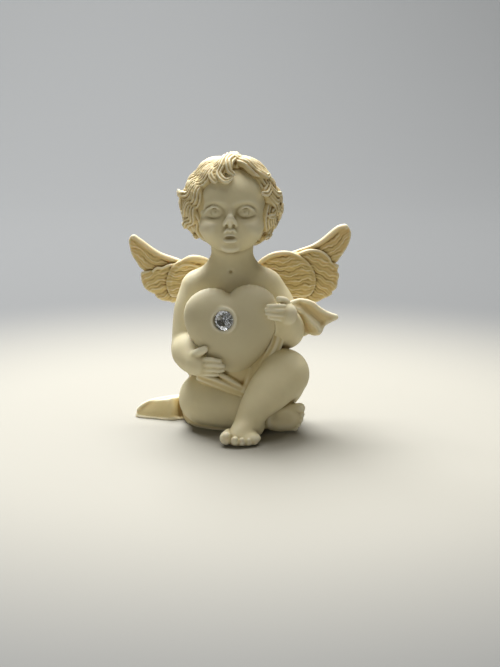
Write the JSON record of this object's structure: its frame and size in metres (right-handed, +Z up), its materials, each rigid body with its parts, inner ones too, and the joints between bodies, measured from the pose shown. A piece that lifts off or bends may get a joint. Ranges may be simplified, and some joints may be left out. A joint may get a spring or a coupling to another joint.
{
  "type": "cherub figurine",
  "caption": "Seated cast-resin cherub with spread feathered wings, loose drapery and a puffed heart held to the chest, with a round crystal set in the heart.",
  "frame": {"origin": "on the base plane, under the seat, below the middle of the heart", "axes": "+Z up, -Y towards the front that the figure faces, +X towards the figure's left"},
  "size_m": [0.0503, 0.0351, 0.0618],
  "materials": {
    "skin": "matte ivory cast resin, lightly shaded in the creases",
    "hair": "matte cast resin with tan antiquing in the recesses",
    "drapery": "matte cast resin with light tan antiquing in the folds",
    "heart": "matte ivory cast resin, smooth",
    "feathers": "matte cast resin with tan antiquing between the feathers",
    "crystal": "clear faceted glass",
    "foil": "bright metal foil",
    "adhesive": "cured clear-amber adhesive"
  },
  "bodies": {
    "root": {"body": "skin", "hair": "hair", "drape": "drapery", "heart": "heart", "left_wing": "feathers", "right_wing": "feathers", "rhinestone": "crystal", "rhinestone_foil": "foil", "rhinestone_adhesive": "adhesive", "heart_adhesive": "adhesive", "left_wing_adhesive": "adhesive", "right_wing_adhesive": "adhesive"}
  },
  "joints": []
}
